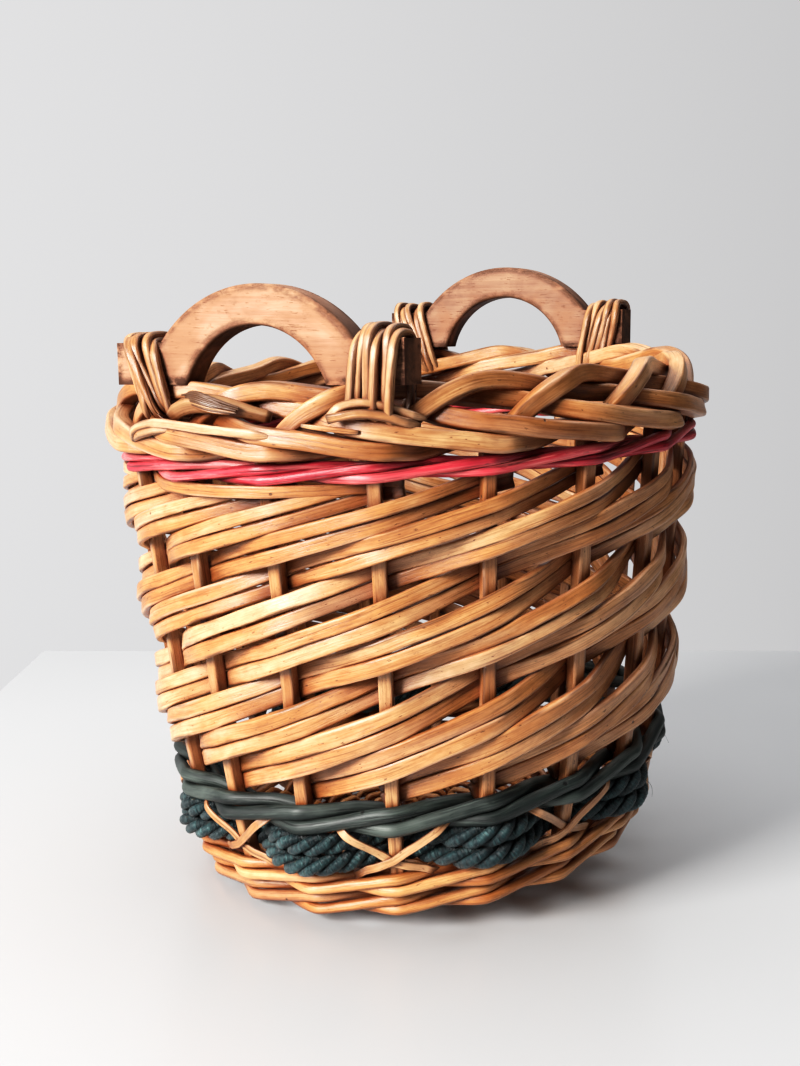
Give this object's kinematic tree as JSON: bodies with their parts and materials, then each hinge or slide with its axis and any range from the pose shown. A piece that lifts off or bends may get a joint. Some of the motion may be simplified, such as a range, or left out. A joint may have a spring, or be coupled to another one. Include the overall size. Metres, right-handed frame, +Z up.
{
  "type": "woven basket",
  "caption": "Round tapered willow basket with slanted open weave, a rope band near the foot and two arched wooden handles on the rim.",
  "frame": {"origin": "on the floor, under the middle of the base's stick cross", "axes": "+Z up; the two handles stand towards -Y and +Y, and their length runs along X"},
  "size_m": [0.3397, 0.3394, 0.3494],
  "materials": {
    "willow_stake": "buff willow, waxed",
    "willow_weaver": "buff willow, waxed",
    "willow_base": "buff willow, waxed",
    "sawn_wood": "sawn and sanded, oiled",
    "cane": "split cane",
    "teal_rope": "dyed twisted grass rope",
    "green_willow": "dyed dark green",
    "red_willow": "dyed red"
  },
  "bodies": {
    "root": {"base_sticks": "willow_base", "base_weave": "willow_base", "stake_01": "willow_stake", "stake_02": "willow_stake", "stake_03": "willow_stake", "stake_04": "willow_stake", "stake_05": "willow_stake", "stake_06": "willow_stake", "stake_07": "willow_stake", "stake_08": "willow_stake", "stake_09": "willow_stake", "stake_10": "willow_stake", "stake_11": "willow_stake", "stake_12": "willow_stake", "stake_13": "willow_stake", "stake_14": "willow_stake", "stake_15": "willow_stake", "stake_16": "willow_stake", "stake_17": "willow_stake", "stake_18": "willow_stake", "foot_wale_lower": "willow_base", "foot_wale_upper": "willow_base", "rope_band": "teal_rope", "cane_ties": "cane", "green_wale": "green_willow", "weaver_pair_01": "willow_weaver", "weaver_pair_02": "willow_weaver", "weaver_pair_03": "willow_weaver", "weaver_pair_04": "willow_weaver", "weaver_pair_05": "willow_weaver", "weaver_pair_06": "willow_weaver", "weaver_pair_07": "willow_weaver", "weaver_pair_08": "willow_weaver", "weaver_pair_09": "willow_weaver", "weaver_pair_10": "willow_weaver", "weaver_pair_11": "willow_weaver", "weaver_pair_12": "willow_weaver", "weaver_pair_13": "willow_weaver", "weaver_pair_14": "willow_weaver", "weaver_pair_15": "willow_weaver", "weaver_pair_16": "willow_weaver", "weaver_pair_17": "willow_weaver", "weaver_pair_18": "willow_weaver", "red_wale": "red_willow", "handle_front": "sawn_wood", "lashing_front_left": "cane", "lashing_front_right": "cane", "handle_back": "sawn_wood", "lashing_back_left": "cane", "lashing_back_right": "cane"}
  },
  "joints": []
}
